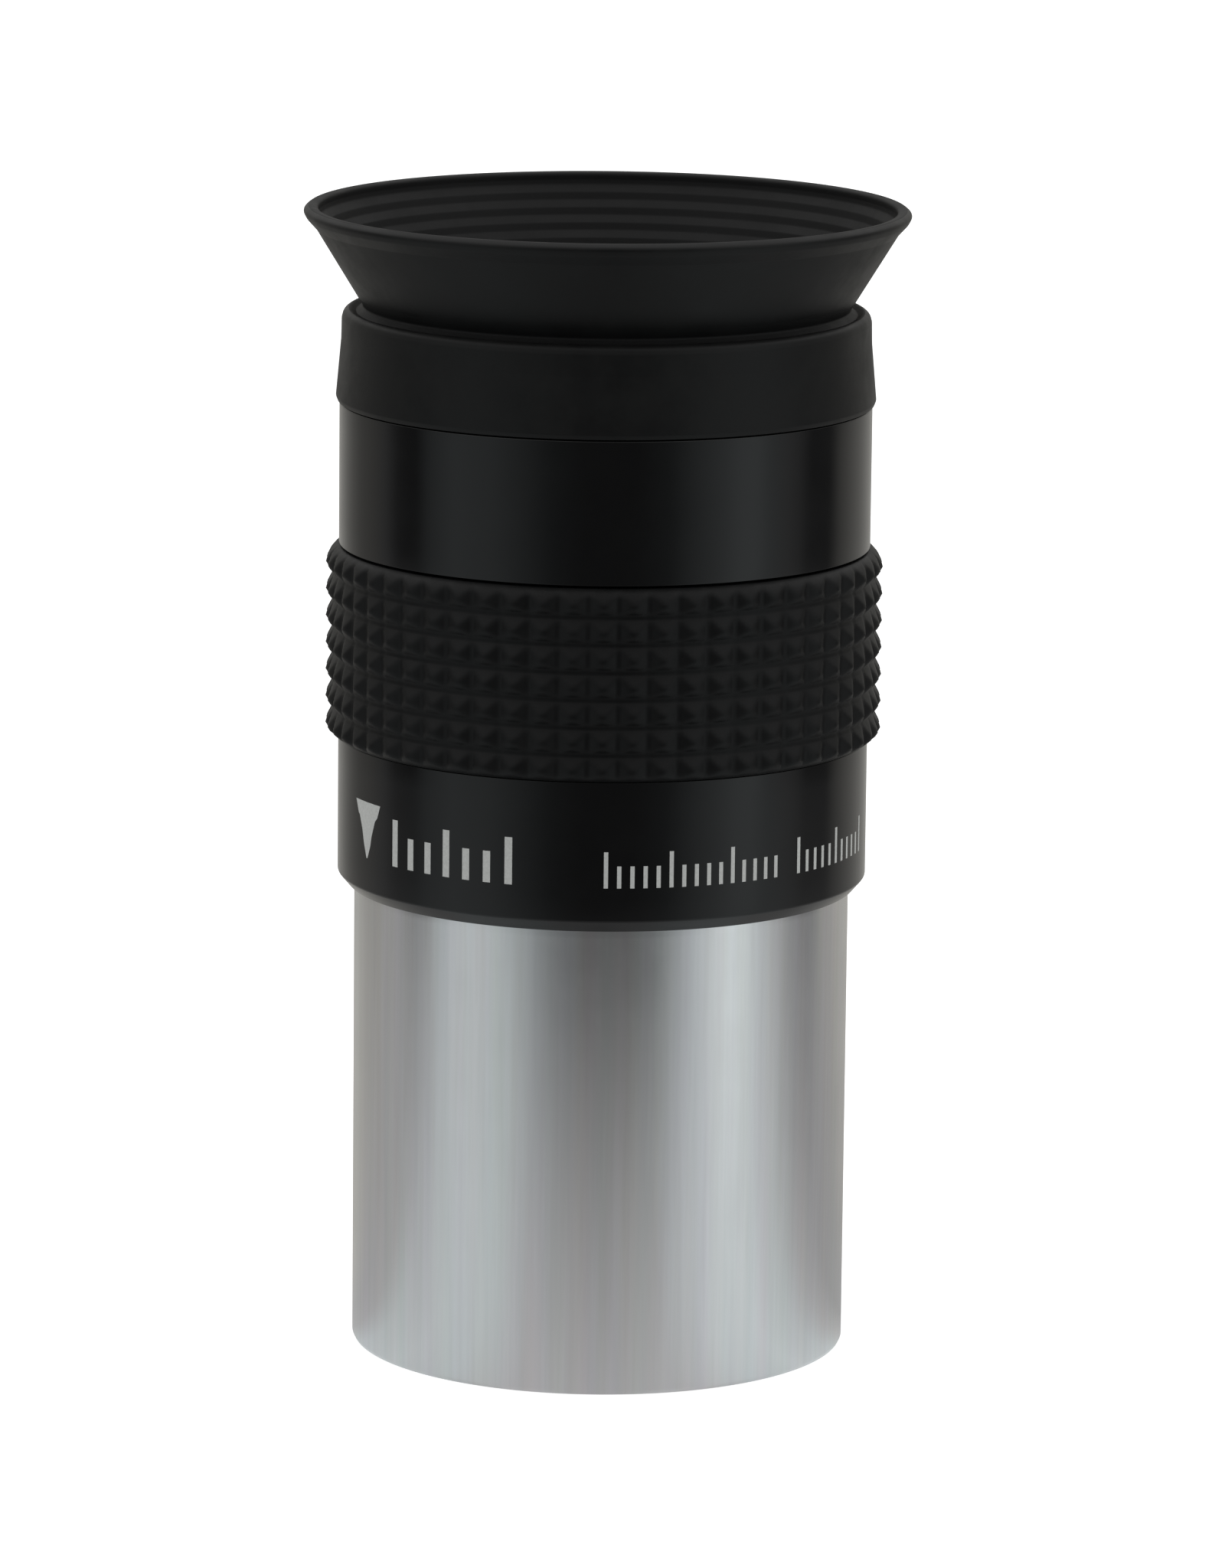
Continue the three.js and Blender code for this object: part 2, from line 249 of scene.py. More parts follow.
def chrome_plate():
    """Chrome over a turned barrel: faint upright streaks, and fine rings from the turning."""
    look = Look("chrome_plate", Metallic=1, Anisotropic=0.6)
    streaks = look.noise(1.6, 4, 0.6, (1, 1, 0.03))
    tint = look.noise(0.9, 2, 0.5, (1, 1, 0.03), "Color")
    grey = look.colours(look.spread(streaks, 0, 1), (0.625, 0.625, 0.63), (0.68, 0.68, 0.69))
    handling = look.noise(0.22, 4, 0.6)
    roughness = look.spread(handling, 0.12, 0.2)
    turning = look.noise(6, 3, 0.7, (0.02, 0.02, 3))
    tangent = look.node("ShaderNodeTangent", direction_type="RADIAL", axis="Z")
    look.link(tangent.outputs[0], look.shader.inputs["Tangent"])
    return look.feed(
        Base_Color=look.blend("SOFT_LIGHT", 0.12, grey, tint),
        Roughness=roughness,
        Normal=look.bump(turning, 0.0006),
    )


def black_anodising():
    look = Look("black_anodising", IOR=1.4)
    cloud = look.noise(0.3, 4, 0.6)
    dye = look.colours(look.spread(cloud, 0, 1), (0.0012, 0.0012, 0.0014), (0.0022, 0.0022, 0.0024))
    grain = look.noise(9, 3, 0.6)
    return look.feed(
        Base_Color=dye,
        Roughness=look.spread(cloud, 0.12, 0.17),
        Normal=look.bump(grain, 0.0008),
    )


def matt_black():
    look = Look("matt_black_metal", IOR=1.4)
    grain = look.noise(5, 4, 0.6)
    return look.feed(
        Base_Color=look.colours(look.spread(grain, 0, 1), (0.006, 0.006, 0.006), (0.012, 0.012, 0.012)),
        Roughness=look.spread(grain, 0.55, 0.75),
        Normal=look.bump(grain, 0.01),
    )


def soft_rubber(name, dark, light, roughness, grain_scale, grain_depth, ior=1.26):
    """Black rubber. The low index keeps its gloss as weak as the photo shows it."""
    look = Look(name, IOR=ior)
    cloud = look.noise(0.35, 5, 0.65)
    grain = look.noise(grain_scale, 4, 0.65)
    return look.feed(
        Base_Color=look.colours(look.spread(cloud, 0, 1), dark, light),
        Roughness=look.spread(cloud, roughness - 0.06, roughness + 0.06),
        Normal=look.bump(grain, grain_depth),
    )


def coated_glass(name, ior):
    """Glass with a thin coating, its thickness in nanometres, and a trace of dust."""
    look = Look(name, Transmission_Weight=1, IOR=ior, Thin_Film_Thickness=110, Thin_Film_IOR=1.38)
    dust = look.noise(4, 5, 0.7)
    return look.feed(
        Base_Color=look.colours(look.spread(dust, 0, 1, 0.6, 0.9), (0.98, 1, 0.985), (0.95, 0.97, 0.95)),
        Roughness=look.spread(dust, 0, 0.04, 0.66, 0.8),
    )


def print_ink():
    look = Look("pale_print")
    wear = look.noise(7, 4, 0.7)
    return look.feed(
        Base_Color=look.colours(look.spread(wear, 0, 1), (0.52, 0.52, 0.50), (0.66, 0.66, 0.64)),
        Roughness=look.spread(wear, 0.4, 0.55),
    )


CHROME = chrome_plate()
ANODISED = black_anodising()
MATT = matt_black()
GRIP_RUBBER = soft_rubber(
    "grip_rubber",
    dark=(0.003, 0.003, 0.0032),
    light=(0.005, 0.005, 0.005),
    roughness=0.48,
    grain_scale=8,
    grain_depth=0.004,
)
CUP_RUBBER = soft_rubber(
    "eyecup_rubber",
    dark=(0.0055, 0.0055, 0.0056),
    light=(0.0085, 0.0085, 0.0082),
    roughness=0.45,
    grain_scale=10,
    grain_depth=0.004,
)
# Painted shade: a darker colour for the cup's inside and the crease over the ledge, standing in for the
# shade there; this rubber is also rougher
SHADED_RUBBER = soft_rubber(
    "eyecup_painted_shade",
    dark=(0.0045, 0.0045, 0.0045),
    light=(0.007, 0.007, 0.007),
    roughness=0.6,
    grain_scale=10,
    grain_depth=0.006,
    ior=1.27,
)
CROWN_GLASS = coated_glass("crown_glass", 1.52)
FLINT_GLASS = coated_glass("flint_glass", 1.62)
INK = print_ink()


# -------------------------------------------------------------------------------------------------------
# Camera


def camera():
    """Looks a little down at the eyepiece from 0.53 m, with a long lens, rolled by about half a degree. The
    values come from fitting a camera to the photo's ellipses."""
    distance, elevation, aim_height = 0.5286, math.radians(11.159), 0.035
    pitch, yaw, roll = math.radians(11.028), math.radians(0.0737), math.radians(0.6037)
    data = bpy.data.cameras.new("camera")
    data.lens = 189
    data.sensor_width = 36
    data.clip_start = 0.01
    thing = bpy.data.objects.new("camera", data)
    bpy.context.scene.collection.objects.link(thing)
    forward = Vector(
        (math.sin(yaw) * math.cos(pitch), math.cos(yaw) * math.cos(pitch), -math.sin(pitch))
    )
    right = forward.cross(Vector((0, 0, 1))).normalized()
    up = right.cross(forward)
    right, up = (
        math.cos(roll) * right + math.sin(roll) * up,
        -math.sin(roll) * right + math.cos(roll) * up,
    )
    place = Vector(
        (0, -distance * math.cos(elevation), aim_height + distance * math.sin(elevation))
    )
    axes = Matrix((right, up, -forward)).transposed()
    thing.matrix_world = Matrix.Translation(place) @ axes.to_4x4()
    bpy.context.scene.camera = thing


camera()


# -------------------------------------------------------------------------------------------------------
# Barrel

BARREL_BORE = 13.9
SPIGOT_RADIUS = 14.6  # over the thread that screws into the housing
SPIGOT_BORE = 13.4
SPIGOT_PITCH = 0.75
SPIGOT_THREAD_DEPTH = 0.42
RELIEF_DEPTH = 0.45  # of the plain groove under the thread
RELIEF_HEIGHT = 0.8
FILTER_RADIUS = 14.25  # at the bottom of the filter thread's grooves
FILTER_PITCH = 0.6
FILTER_THREAD_DEPTH = 0.32
FILTER_DEPTH = 4.6  # how far up the filter thread's counterbore goes
FOOT_EDGE = 0.3  # of the bevel inside the barrel's bottom end
THREAD_STEP = 0.08  # longest mesh step along a thread
SEAT_DEPTH = 0.1  # of the ring in the housing's underside that takes the barrel's shoulder


def helix(height, angle, pitch):
    """A right-hand thread's form, from 0 in the groove to 1 on the crest."""
    phase = (height / pitch - angle / (2 * math.pi)) % 1
    zigzag = 1 - np.abs(2 * phase - 1)
    steepness, root = 1.35, 0.1  # which cut the zigzag flat at its crest and in its groove
    return np.clip(steepness * zigzag - root, 0, 1)


def fade(value, low, high, run):
    """1 between low and high, falling to 0 over run at each end."""
    return np.clip(np.minimum(value - low, high - value) / run, 0, 1)


def finer_thread(outline):
    """The outline with short steps along its threaded stretches."""
    made = []
    for i, point in enumerate(outline):
        step = outline[(i + 1) % len(outline)] - point
        upright = abs(step[0]) < 1e-6
        threaded = upright and min(abs(point[0] - SPIGOT_RADIUS), abs(point[0] - FILTER_RADIUS)) < 0.01
        pieces = math.ceil(abs(step[1]) / THREAD_STEP) if threaded else 1
        made += [point + step * k / pieces for k in range(pieces)]
    return np.array(made)


def barrel_shape(r, z, angle):
    """Cuts the male thread into the spigot and raises the filter thread in the counterbore. Each thread
    runs out over a short stretch at its ends."""
    near = 0.05
    spigot_start, spigot_end, spigot_runout = HOUSING_BOTTOM + 1.05, SPIGOT_TOP - 0.05, 0.35
    male = (np.abs(r - SPIGOT_RADIUS) < near) & (z > HOUSING_BOTTOM + 0.6)
    depth = SPIGOT_THREAD_DEPTH * fade(z, spigot_start, spigot_end, spigot_runout)
    r = np.where(male, r - (1 - helix(z, angle, SPIGOT_PITCH)) * depth, r)
    filter_start, filter_end, filter_runout = 0.35, FILTER_DEPTH - 0.3, 0.4
    female = (r < FILTER_RADIUS + near) & (r > BARREL_BORE + 0.02) & (z < FILTER_DEPTH - near)
    depth = FILTER_THREAD_DEPTH * fade(z, filter_start, filter_end, filter_runout)
    r = np.where(female, r - helix(z, angle, FILTER_PITCH) * depth, r)
    return r, z


def barrel():
    shoulder = HOUSING_BOTTOM + SEAT_DEPTH - GAP
    relief = SPIGOT_RADIUS - RELIEF_DEPTH
    ledge = STOP_BOTTOM - GAP
    ledge_bore = STOP_RADIUS - 0.6
    corners = [
        (FILTER_RADIUS + FOOT_EDGE, 0, 0.05),
        (BARREL_RADIUS - 0.12, 0, 0.1),
        (BARREL_RADIUS, 0.25, 0.2),
        (BARREL_RADIUS, shoulder, 0.1),
        (relief, shoulder, 0.05),
        (relief, shoulder + RELIEF_HEIGHT, 0.05),
        (SPIGOT_RADIUS, shoulder + RELIEF_HEIGHT + 0.3, 0),
        (SPIGOT_RADIUS, SPIGOT_TOP - 0.25, 0),
        (SPIGOT_RADIUS - 0.3, SPIGOT_TOP, 0.05),
        (SPIGOT_BORE, SPIGOT_TOP, 0.05),
        (SPIGOT_BORE, ledge, 0),
        (ledge_bore, ledge, 0.03),
        (ledge_bore, ledge - 1.2, 0.05),
        (BARREL_BORE, ledge - 2, 0.1),
        (BARREL_BORE, FILTER_DEPTH, 0.03),
        (FILTER_RADIUS, FILTER_DEPTH, 0),
        (FILTER_RADIUS, FOOT_EDGE, 0),
    ]
    outline = finer_thread(refined(rounded(corners), 0.5))

    def zone(r, z):
        inside = r < BARREL_BORE + 0.1 and FILTER_DEPTH - 0.1 < z < SPIGOT_TOP - 0.2
        return 1 if inside else 0

    made = turned("barrel_chrome", outline, [CHROME, MATT], zone, shape=barrel_shape)
    place_piece(made, "barrel", "chrome_barrel", "barrel")


barrel()


# -------------------------------------------------------------------------------------------------------
# Housing

RECESS_RADIUS = 16.35  # under the grip sleeve
NECK_RADIUS = 15.3  # under the eyecup's collar
BEAD_MIDDLE = COLLAR_BOTTOM + 3  # of the snap bead that keeps the eyecup on the neck
BEAD_HEIGHT = 0.45
BEAD_FLAT = 0.3  # half the height of the bead's flat top
BEAD_FOOT = 0.8  # half the height of its foot
SEAT_RADIUS = 16  # of the ring that takes the barrel's shoulder
SOCKET_RADIUS = 14.75  # of the threaded socket for the spigot
BAFFLE_BORE = 13
EYE_OPENING = 13.2  # of the bevel over the eye lens
LIP_DROP = 0.56  # of the lip that holds the eye lens, below the lens's apex
LIP_WIDTH = 0.7
LENS_PLAY = 0.1  # round the lenses and the retaining ring


def housing():
    seat = HOUSING_BOTTOM + SEAT_DEPTH
    recess_bottom, recess_top = GRIP_BOTTOM - GAP, GRIP_TOP + 0.14
    body_top = COLLAR_BOTTOM - GAP
    bead = NECK_RADIUS + BEAD_HEIGHT
    lip, lip_bore = EYE_APEX - LIP_DROP, LENS_RADIUS - LIP_WIDTH
    lens_bore, retainer_bore = LENS_RADIUS + LENS_PLAY, RETAINER_RADIUS + LENS_PLAY
    retainer_seat = RETAINER_TOP + 0.14
    socket_top = SPIGOT_TOP + 0.5
    corners = [
        (SOCKET_RADIUS + 0.35, seat, 0.05),
        (SEAT_RADIUS, seat, 0.02),
        (SEAT_RADIUS, HOUSING_BOTTOM, 0.03),
        (HOUSING_RADIUS - 0.65, HOUSING_BOTTOM, 0.1),
        (HOUSING_RADIUS, HOUSING_BOTTOM + 0.75, 0.25),
        (HOUSING_RADIUS, recess_bottom, 0.08),
        (RECESS_RADIUS, recess_bottom, 0.05),
        (RECESS_RADIUS, recess_top, 0.05),
        (HOUSING_RADIUS, recess_top, 0.08),
        (HOUSING_RADIUS, body_top, 0.15),
        (NECK_RADIUS, body_top, 0.05),
        (NECK_RADIUS, BEAD_MIDDLE - BEAD_FOOT, 0.1),
        (bead, BEAD_MIDDLE - BEAD_FLAT, 0.2),
        (bead, BEAD_MIDDLE + BEAD_FLAT, 0.2),
        (NECK_RADIUS, BEAD_MIDDLE + BEAD_FOOT, 0.1),
        (NECK_RADIUS, HOUSING_TOP - 0.25, 0.05),
        (NECK_RADIUS - 0.25, HOUSING_TOP, 0.1),
        (EYE_OPENING, HOUSING_TOP, 0.15),
        (lip_bore, lip + 0.6, 0.05),
        (lip_bore, lip, 0.03),
        (lens_bore, lip, 0.02),
        (lens_bore, retainer_seat, 0.02),
        (retainer_bore, retainer_seat, 0.02),
        (retainer_bore, RETAINER_BOTTOM - 1.2, 0.1),
        (BAFFLE_BORE, RETAINER_BOTTOM - 1.8, 0.1),
        (BAFFLE_BORE, socket_top, 0.05),
        (SOCKET_RADIUS, socket_top, 0.05),
        (SOCKET_RADIUS, HOUSING_BOTTOM + 0.45, 0.05),
    ]
    outline = refined(rounded(corners), 1.5)

    def zone(r, z):
        return 1 if r < SOCKET_RADIUS + 0.02 else 0

    made = turned("housing_body", outline, [ANODISED, MATT], zone)
    place_piece(made, "head", "black_anodised", "housing")


housing()


# -------------------------------------------------------------------------------------------------------
# Grip sleeve

GRIP_ROWS = 7
GRIP_COLUMNS = 58
GRIP_STEPS = 8  # mesh steps across one pyramid
GRIP_PEAK = 0.375  # of the way up its row
GRIP_SADDLE = 0.8  # how deep the valley between two columns is, against the one between two rows
GRIP_SQUARENESS = 10  # the power that keeps each pyramid four-sided
GRIP_TIP = 0.12  # how much of each tip is rounded off
GRIP_VALLEY = 0.6  # from the CAD sleeve's outer radius to the valleys
GRIP_END = 0.8  # from that radius to the sleeve's two ends
GRIP_END_RUN = 0.2  # the share of a row over which the sleeve rises from an end to its valleys


def eased(value, size):
    """A straight rise with its top end rounded: 1 where value is 1, and a little above 0 where it is 0."""
    top = 1 - value
    return 1 - (np.sqrt(top**2 + size**2) - size)


def grip_sleeve():
    valley, end = GRIP_RADIUS - GRIP_VALLEY, GRIP_RADIUS - GRIP_END
    inside = RECESS_RADIUS + 0.1
    height = GRIP_TOP - GRIP_BOTTOM
    rows, columns = GRIP_ROWS * GRIP_STEPS, GRIP_COLUMNS * GRIP_STEPS
    levels = GRIP_BOTTOM + height * np.arange(rows + 1) / rows
    outline = [(valley, z) for z in levels]
    outline += [(inside, GRIP_TOP), (inside, GRIP_BOTTOM)]

    def shape(r, z, angle):
        across = np.abs((angle * GRIP_COLUMNS / (2 * math.pi)) % 1 - 0.5) * 2
        row = (z - GRIP_BOTTOM) / height * GRIP_ROWS
        up = row % 1
        along = np.where(up < GRIP_PEAK, 1 - up / GRIP_PEAK, (up - GRIP_PEAK) / (1 - GRIP_PEAK))
        power = GRIP_SQUARENESS
        distance = ((GRIP_SADDLE * across) ** power + along**power) ** (1 / power)
        from_end = np.minimum(row, GRIP_ROWS - row)
        base = end + (valley - end) * np.clip(from_end / GRIP_END_RUN, 0, 1)
        tip = GRIP_RADIUS - 0.02  # so that it stays inside the CAD sleeve's box
        return np.where(r > inside + 0.1, base + (tip - valley) * eased(1 - distance, GRIP_TIP), r), z

    made = turned("grip_band", outline, [GRIP_RUBBER], around=columns, shape=shape, sharp=80)
    place_piece(made, "head", "grip_rubber", "grip_sleeve")


grip_sleeve()


# -------------------------------------------------------------------------------------------------------
# Printed marks: a setting scale on the housing, just above the barrel. Turns, pitches and widths are in
# degrees, and a turn counts to the right from the front.

PRINT_PROUD = 0.012  # above the housing
PRINT_ROOT = 0.05  # below it
MARK_BASE = 2.9  # above the housing's bottom end
TRIANGLE_TURN, TRIANGLE_HEIGHT, TRIANGLE_WIDTH, TRIANGLE_POINT = -61, 3.6, 11, 0.4
BARS, BAR_START, BAR_PITCH, BAR_WIDTH = 7, -50, 5, 1.7
TALL_BAR, SHORT_BAR = 3, 2
TICK_RUNS = ((1, 15), (47, 11))  # the first tick's turn, and how many there are
TICK_PITCH, TICK_WIDTH = 2.8, 0.9
TALL_TICK, SHORT_TICK = 2.3, 1.4


def tile(turn, low, high, low_width, high_width, radius):
    """A thin tile on a cylinder, its widths in degrees at its lower and upper edge. Returns its points and
    faces."""
    widest_strip = 1.2  # degrees
    across = max(1, math.ceil(max(low_width, high_width) / widest_strip))
    points = []
    for r in (radius + PRINT_PROUD, radius - PRINT_ROOT):
        for height, width in ((low, low_width), (high, high_width)):
            for k in range(across + 1):
                angle = math.radians(turn - 90 + (k / across - 0.5) * width)
                points.append((r * math.cos(angle), r * math.sin(angle), height))
    n = across + 1
    faces = []
    for k in range(across):
        outer = (k, k + 1, n + k + 1, n + k)
        faces += [outer, tuple(2 * n + i for i in reversed(outer))]
        faces += [(2 * n + k, 2 * n + k + 1, k + 1, k), (n + k, n + k + 1, 3 * n + k + 1, 3 * n + k)]
    faces += [(0, n, 3 * n, 2 * n), (2 * n + across, 3 * n + across, n + across, across)]
    return points, faces


def printed_marks():
    base = HOUSING_BOTTOM + MARK_BASE
    tiles = [(TRIANGLE_TURN, base, base + TRIANGLE_HEIGHT, TRIANGLE_POINT, TRIANGLE_WIDTH)]
    for k in range(BARS):
        height = TALL_BAR if k % 3 == 0 else SHORT_BAR
        tiles.append((BAR_START + BAR_PITCH * k, base, base + height, BAR_WIDTH, BAR_WIDTH))
    for first, count in TICK_RUNS:
        for k in range(count):
            height = TALL_TICK if k % 5 == 0 else SHORT_TICK
            tiles.append((first + TICK_PITCH * k, base, base + height, TICK_WIDTH, TICK_WIDTH))
    vertices, faces = [], []
    for sizes in tiles:
        points, sides = tile(*sizes, HOUSING_RADIUS)
        faces += [tuple(len(vertices) + v for v in side) for side in sides]
        vertices += points
    made = mesh_object("scale_marks", vertices, faces, [INK], sharp=30)
    place_piece(made, "head", "pale_print")


printed_marks()


# -------------------------------------------------------------------------------------------------------
# Eyecup: one moulding from the collar to the rim

CUP_PLAY = 0.15  # round the housing's neck and its bead
LEDGE_HEIGHT = 5.9  # of the collar's ledge above its bottom
FOLD_RADIUS = 15.35  # of the thin wall at the fold line
CONE_RADIUS = 15.8  # of the cone at the next line's height, just above the collar
CONE_LEVEL = COLLAR_TOP + 0.2
CONE_SLOPE = 0.612  # how far the cone widens for each millimetre up
CUP_WALL = 0.7
CUP_LIP = 0.65  # from the collar's top down to its inner lip, which caps the housing's neck
RIBS = 5
RIB_PITCH = 0.93
RIB_HEIGHT = 0.13
FIRST_RIB = 0.85  # below the rim's top


def eyecup():
    bore = NECK_RADIUS + CUP_PLAY
    groove = bore + BEAD_HEIGHT
    groove_flat, groove_foot = BEAD_FLAT + CUP_PLAY, BEAD_FOOT + CUP_PLAY
    ledge = COLLAR_BOTTOM + LEDGE_HEIGHT
    lip = COLLAR_TOP - CUP_LIP
    cone_foot = COLLAR_TOP - 0.35
    cone_top = FLARE_TOP + GAP

    def cone(z):
        return CONE_RADIUS + (z - CONE_LEVEL) * CONE_SLOPE

    corners = [
        (bore + 0.15, COLLAR_BOTTOM, 0.05),
        (COLLAR_RADIUS - 0.14, COLLAR_BOTTOM, 0.1),
        (COLLAR_RADIUS - 0.02, COLLAR_BOTTOM + 0.3, 0.2),
        (COLLAR_RADIUS - 0.34, COLLAR_BOTTOM + 3.9, 1.5),
        (COLLAR_RADIUS - 0.37, ledge - 0.65, 0.5),
        (COLLAR_RADIUS - 0.48, ledge - 0.25, 0.5),
        (COLLAR_RADIUS - 0.85, ledge, 0.4),
        (FOLD_RADIUS + 0.55, ledge - 0.25, 0.1),
        (cone(cone_foot), cone_foot, 0.15),
        (cone(cone_top), cone_top, 0.4),
        (RIM_RADIUS - 0.2, RIM_TOP - 0.8, 0.6),
        (RIM_RADIUS + 0.04, RIM_TOP - 0.35, 0.4),  # its rounding brings it back inside the CAD rim's box
        (RIM_RADIUS - 0.4, RIM_TOP - 0.02, 0.35),
        (RIM_RADIUS - 0.95, RIM_TOP - 0.12, 0.4),
        (cone(RIM_TOP - 0.55) - CUP_WALL, RIM_TOP - 0.55, 0.3),
    ]
    for rib in range(RIBS):
        crest = RIM_TOP - FIRST_RIB - rib * RIB_PITCH
        hollow = crest - RIB_PITCH / 2
        corners += [
            (cone(crest) - CUP_WALL + RIB_HEIGHT, crest, 0.3),
            (cone(hollow) - CUP_WALL, hollow, 0.3),
        ]
    corners += [
        (NECK_RADIUS - 0.5, COLLAR_TOP + 0.1, 0.2),
        (NECK_RADIUS - 0.6, lip, 0.08),
        (bore, lip, 0.05),
        (bore, BEAD_MIDDLE + groove_foot, 0.1),
        (groove, BEAD_MIDDLE + groove_flat, 0.1),
        (groove, BEAD_MIDDLE - groove_flat, 0.1),
        (bore, BEAD_MIDDLE - groove_foot, 0.1),
        (bore, COLLAR_BOTTOM + 0.15, 0.05),
    ]
    outline = refined(rounded(corners), 0.3)

    def zone(r, z):
        """The rougher rubber, darkened as painted shade, in the crease over the ledge and on the cup's
        inside.
        """
        crease = r < COLLAR_RADIUS - 0.8 and ledge - 0.3 < z < COLLAR_TOP + 0.25
        inside = z > COLLAR_TOP and r < cone(z) - CUP_WALL / 2
        return 1 if crease or inside else 0

    made = turned("eyecup_moulding", outline, [CUP_RUBBER, SHADED_RUBBER], zone)
    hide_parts("eyecup_collar", "eyecup_flare", "eyecup_rim")
    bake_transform(made)


eyecup()


# -------------------------------------------------------------------------------------------------------
# Lenses: the same two cemented doublets as in the frame, with true spherical surfaces, because a facet in
# glass shows from above

INNER_CURVE = 22.7  # the crown's free surface and the cemented one
OUTER_CURVE = 91  # the flint's free surface
LENS_STEPS = 24


def sag(curve, radius):
    """How far a spherical surface has left its apex's plane at a radius."""
    return curve - np.sqrt(curve**2 - radius**2)


def surface(apex, curve, side):
    """A lens surface as points (radius, height) from near the axis to the edge. side is 1 where the edge
    lies above the apex and -1 where it lies below."""
    radii = LENS_RADIUS * np.arange(1, LENS_STEPS + 1) / LENS_STEPS
    return [(r, apex + side * sag(curve, r)) for r in radii]


def lens(node, material, slot, bottom, top):
    """A lens between two surfaces, each given as (apex height, curve, side). Vertices 0 and 1 are the two
    apexes, and the rings follow."""
    outline = surface(*bottom) + surface(*top)[::-1]
    angles = np.arange(ROUND) * 2 * math.pi / ROUND
    vertices = [(0, 0, bottom[0]), (0, 0, top[0])]
    vertices += [(r * math.cos(a), r * math.sin(a), z) for r, z in outline for a in angles]
    rings = [2 + i * ROUND for i in range(len(outline))]
    faces = []
    for k in range(ROUND):
        m = (k + 1) % ROUND
        faces += [(0, rings[0] + m, rings[0] + k), (rings[-1] + k, rings[-1] + m, 1)]
        for here, there in zip(rings, rings[1:]):
            faces.append((here + k, here + m, there + m, there + k))
    made = mesh_object(f"{node}_glass", vertices, faces, [material])
    place_piece(made, "head", slot, node)


def lenses():
    edge = sag(INNER_CURVE, LENS_RADIUS)
    for end in ("eye", "field"):
        _, low, high = reach(f"{end}_lens_crown")
        bottom, top = (low, INNER_CURVE, 1), (high, INNER_CURVE, -1)
        lens(f"{end}_lens_crown", CROWN_GLASS, "crown_glass", bottom, top)
        _, low, high = reach(f"{end}_lens_flint")
        if end == "eye":
            bottom, top = (low + edge, INNER_CURVE, -1), (high, OUTER_CURVE, -1)
        else:
            bottom, top = (low, OUTER_CURVE, 1), (high - edge, INNER_CURVE, 1)
        lens(f"{end}_lens_flint", FLINT_GLASS, "flint_glass", bottom, top)


lenses()


# -------------------------------------------------------------------------------------------------------
# Finish for the carried-over nodes, which are all of matt black metal

for row in frame["record"]["subparts"]:
    if row["material_slot"] == "matt_black_metal":
        materials = frame["nodes"][row["node"]].data.materials
        materials.clear()
        materials.append(MATT)


# -------------------------------------------------------------------------------------------------------
# Studio: floor, backdrop, surroundings and one lamp

FLOOR_RADIUS = 2500
DOME_RADIUS = 2400
DOME_RINGS, DOME_AROUND = 12, 48
GLOW_RADIUS = 300
GLOW_DROP = 0.2  # how far the glow lies under the floor, so that no two faces share a place
GLOW_REACH = 148  # where it has faded out, in front of the middle
GLOW_STRETCH = 2  # how much farther it reaches to the sides


def floor_paper():
    """White paper that is lit from behind as well, so that only a faint contact shadow is left."""
    look = Look("floor_paper", Roughness=0.9)
    look.shader.inputs["Emission Color"].default_value = (1, 1, 1, 1)
    look.shader.inputs["Emission Strength"].default_value = 0.72
    grain = look.noise(0.05, 3, 0.5)
    return look.feed(
        Base_Color=look.colours(look.spread(grain, 0, 1), (0.52, 0.52, 0.52), (0.55, 0.55, 0.55)),
        Normal=look.bump(look.noise(2, 3, 0.6), 0.01),
    )


def azimuth_ramp(tree, place, bands):
    """A colour that depends only on the direction from the Z axis, from a list of (degrees to the right from
    the front, brightness, warmth). Returns it and the node that splits the place into X, Y and Z."""
    split = tree.nodes.new("ShaderNodeSeparateXYZ")
    tree.links.new(place, split.inputs[0])
    front = tree.nodes.new("ShaderNodeMath")
    front.operation = "MULTIPLY"
    front.inputs[1].default_value = -1
    tree.links.new(split.outputs["Y"], front.inputs[0])
    turn = tree.nodes.new("ShaderNodeMath")
    turn.operation = "ARCTAN2"
    tree.links.new(split.outputs["X"], turn.inputs[0])
    tree.links.new(front.outputs[0], turn.inputs[1])
    share = ranged(tree, turn.outputs[0], (-math.pi, math.pi), (0, 1))
    made = tree.nodes.new("ShaderNodeValToRGB")
    ramp = made.color_ramp
    while len(ramp.elements) < len(bands):
        ramp.elements.new(0.5)
    tints = {1: (1.02, 1, 0.94), 0: (1, 1, 1), -1: (0.94, 1, 1.01)}
    for element, (degrees, light, warmth) in zip(ramp.elements, bands):
        element.position = (degrees + 180) / 360
        element.color = (*(light * c for c in tints[warmth]), 1)
    tree.links.new(share, made.inputs[0])
    return made.outputs[0], split


def ranged(tree, source, given, wanted, kind="LINEAR"):
    """source, from one range to another, held inside it."""
    made = tree.nodes.new("ShaderNodeMapRange")
    made.interpolation_type = kind
    for key, value in zip(("From Min", "From Max", "To Min", "To Max"), (*given, *wanted)):
        made.inputs[key].default_value = value
    tree.links.new(source, made.inputs["Value"])
    return made.outputs[0]


def mixed(tree, share, first, second):
    """Two colours mixed."""
    made = tree.nodes.new("ShaderNodeMix")
    made.data_type = "RGBA"
    for source, target in ((share, "Factor"), (first, 6), (second, 7)):
        tree.links.new(source, made.inputs[target])
    return made.outputs[2]


